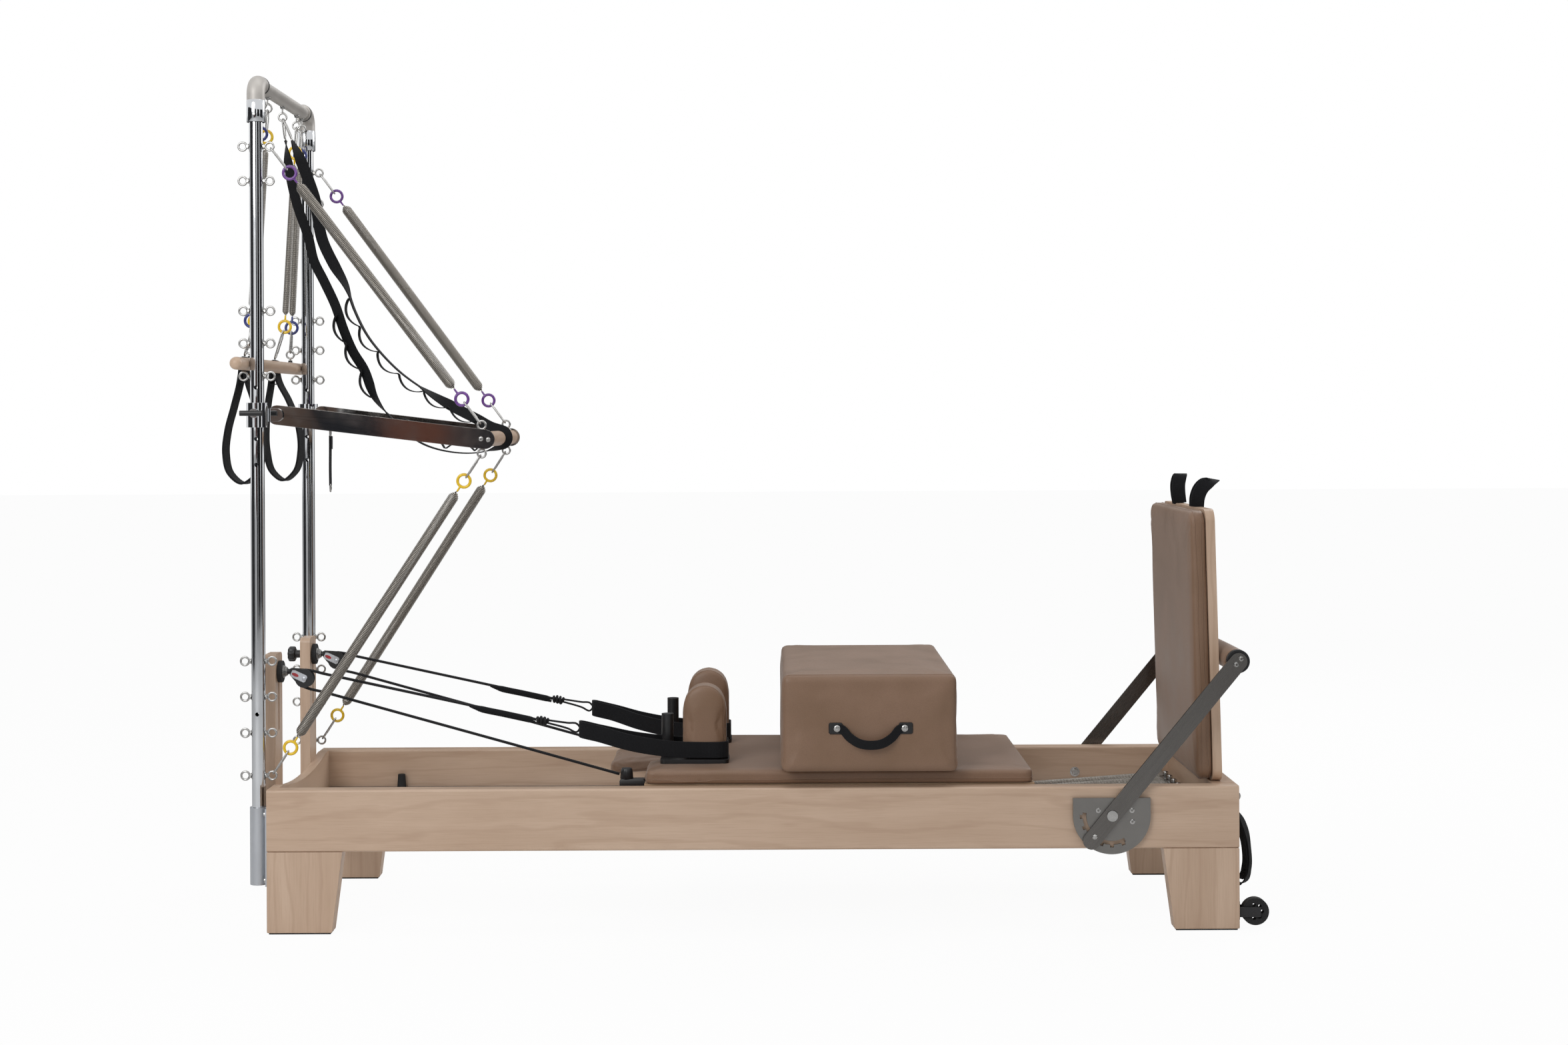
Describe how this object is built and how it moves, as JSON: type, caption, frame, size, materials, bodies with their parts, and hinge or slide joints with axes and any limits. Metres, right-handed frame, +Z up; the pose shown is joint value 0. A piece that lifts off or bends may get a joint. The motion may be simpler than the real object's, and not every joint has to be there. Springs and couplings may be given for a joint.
{
  "type": "pilates reformer with tower",
  "caption": "Exercise bed with a sprung sliding carriage, sitting box, footbar and jumpboard, and a tube tower with push-through bar, springs, straps and pulleys.",
  "frame": {"origin": "on the floor under the middle of the wooden frame, half way along the side rails and between them", "axes": "+X from the tower at the head end to the jumpboard at the foot end, +Y across the frame away from the viewer, +Z up"},
  "size_m": [2.565, 0.76, 2.088],
  "materials": {
    "maple": "clear satin varnish on pale maple",
    "birch_board": "plain plywood",
    "tan_leather": "soft matt leatherette",
    "chrome_steel": "bright polished tube",
    "satin_metal": "satin",
    "flat_steel": "brushed",
    "grey_steel": "satin grey",
    "spring_steel": "oiled steel with coloured end rings",
    "black_plastic": "matt black",
    "black_steel": "black powder coat",
    "black_rubber": "matt",
    "black_webbing": "woven webbing and rope"
  },
  "bodies": {
    "frame": {"side_rails": "maple", "tracks": "satin_metal", "legs": "maple", "foot_pads": "black_plastic", "end_boards": "maple", "post_sockets": "satin_metal", "frame_screws": "chrome_steel", "posts": "chrome_steel", "elbows": "satin_metal", "crossbar": "chrome_steel", "eyebolts": "chrome_steel", "pulley_risers": "maple", "pulley_blocks": "grey_steel", "clamp_discs": "black_plastic", "track_stops": "black_rubber", "gear_plates": "grey_steel", "spring_bar": "grey_steel", "carriage_springs": "spring_steel", "push_collars": "black_steel", "push_springs": "spring_steel", "loop_strap": "black_webbing", "wheel_brackets": "black_steel", "hanging_straps": "black_webbing"},
    "carriage": {"carriage_frame": "birch_board", "carriage_pad": "tan_leather", "shoulder_bases": "black_steel", "shoulder_rests": "tan_leather", "rope_cleats": "black_plastic", "foot_loops": "black_webbing", "ropes": "black_webbing"},
    "head_wheels": {"head_wheels": "black_plastic"},
    "foot_wheels": {"foot_wheels": "black_plastic"},
    "headrest": {"headrest": "tan_leather", "headrest_hinge": "chrome_steel"},
    "sitting_box": {"sitting_box": "tan_leather", "box_handles": "black_webbing"},
    "jumpboard": {"jumpboard_panel": "maple", "jumpboard_pad": "tan_leather", "jumpboard_loops": "black_webbing"},
    "footbar_carrier": {"footbar_pivots": "chrome_steel"},
    "footbar": {"footbar_arms": "flat_steel", "footbar_core": "flat_steel", "footbar_bar": "tan_leather", "footbar_caps": "black_plastic"},
    "push_bar": {"push_arms": "flat_steel", "push_handle": "maple", "push_fittings": "chrome_steel", "safety_strap": "black_rubber"},
    "near_lock_pin": {"near_lock_pin": "black_steel"},
    "far_lock_pin": {"far_lock_pin": "black_steel"},
    "roll_down_bar": {"roll_down_bar": "maple", "roll_down_springs": "spring_steel"},
    "near_hand_loop": {"near_arm_spring": "spring_steel", "near_hand_strap": "black_webbing"},
    "far_hand_loop": {"far_arm_spring": "spring_steel", "far_hand_strap": "black_webbing"},
    "sheaves": {"sheaves": "black_plastic"},
    "near_knob": {"near_knob": "black_plastic"},
    "far_knob": {"far_knob": "black_plastic"},
    "transport_wheels": {"transport_wheels": "black_plastic"}
  },
  "joints": [
    {"name": "carriage_slide", "type": "slide", "parent": "frame", "child": "carriage", "axis": [1, 0, 0], "range_m": [-0.6, 0], "stiffness_N_per_m": 400, "springref_m": 0.1, "deforming": ["carriage_springs", "ropes"]},
    {"name": "head_wheels_roll", "type": "hinge", "parent": "carriage", "child": "head_wheels", "pos_m": [-0.2, 0, 0.275], "axis": [0, 1, 0], "continuous": true},
    {"name": "foot_wheels_roll", "type": "hinge", "parent": "carriage", "child": "foot_wheels", "pos_m": [0.62, 0, 0.275], "axis": [0, 1, 0], "continuous": true},
    {"name": "headrest_lift", "type": "hinge", "parent": "carriage", "child": "headrest", "pos_m": [-0.167, 0, 0.3565], "axis": [0, 1, 0], "range_deg": [0, 35]},
    {"name": "box_lift", "type": "slide", "parent": "carriage", "child": "sitting_box", "axis": [0, 0, 1], "range_m": [0, 0.3]},
    {"name": "jumpboard_lift", "type": "slide", "parent": "frame", "child": "jumpboard", "axis": [-0.0244, 0, 0.9997], "range_m": [0, 0.06]},
    {"name": "footbar_tilt", "type": "hinge", "parent": "frame", "child": "footbar_carrier", "pos_m": [0.8655, 0, 0.281], "axis": [0, 1, 0], "range_deg": [0, 48.1]},
    {"name": "footbar_lock", "type": "slide", "parent": "footbar_carrier", "child": "footbar", "axis": [0.6374, 0, 0.7705], "range_m": [-0.006, 0]},
    {"name": "push_bar_swing", "type": "hinge", "parent": "frame", "child": "push_bar", "pos_m": [-1.161, 0, 1.256], "axis": [0, 1, 0], "range_deg": [-25, 25], "stiffness_Nm_per_rad": 60, "springref_deg": -7.45, "deforming": ["push_springs", "loop_strap"]},
    {"name": "near_lock_pull", "type": "slide", "parent": "frame", "child": "near_lock_pin", "axis": [0, -1, 0], "range_m": [0, 0.02]},
    {"name": "far_lock_pull", "type": "slide", "parent": "frame", "child": "far_lock_pin", "axis": [0, 1, 0], "range_m": [0, 0.02]},
    {"name": "roll_down_swing", "type": "hinge", "parent": "frame", "child": "roll_down_bar", "pos_m": [-1.204, 0, 2.022], "axis": [0, 1, 0], "range_deg": [0, 60]},
    {"name": "near_loop_swing", "type": "hinge", "parent": "roll_down_bar", "child": "near_hand_loop", "pos_m": [-1.204, -0.165, 2.022], "axis": [0, 1, 0], "range_deg": [0, 40]},
    {"name": "far_loop_swing", "type": "hinge", "parent": "roll_down_bar", "child": "far_hand_loop", "pos_m": [-1.204, 0.165, 2.022], "axis": [0, 1, 0], "range_deg": [0, 40]},
    {"name": "sheaves_turn", "type": "hinge", "parent": "frame", "child": "sheaves", "pos_m": [-1.11, 0, 0.603], "axis": [0, 1, 0], "continuous": true},
    {"name": "near_knob_turn", "type": "hinge", "parent": "frame", "child": "near_knob", "pos_m": [-1.23, -0.2, 0.62], "axis": [1, 0, 0], "continuous": true},
    {"name": "far_knob_turn", "type": "hinge", "parent": "frame", "child": "far_knob", "pos_m": [-1.23, 0.2, 0.62], "axis": [1, 0, 0], "continuous": true},
    {"name": "transport_wheels_roll", "type": "hinge", "parent": "frame", "child": "transport_wheels", "pos_m": [1.217, 0, 0.041], "axis": [0, 1, 0], "continuous": true}
  ],
  "couplings": [
    {"joint": "head_wheels_roll", "follows": "carriage_slide", "rad_per_m": 40.486},
    {"joint": "foot_wheels_roll", "follows": "carriage_slide", "rad_per_m": 40.486}
  ]
}
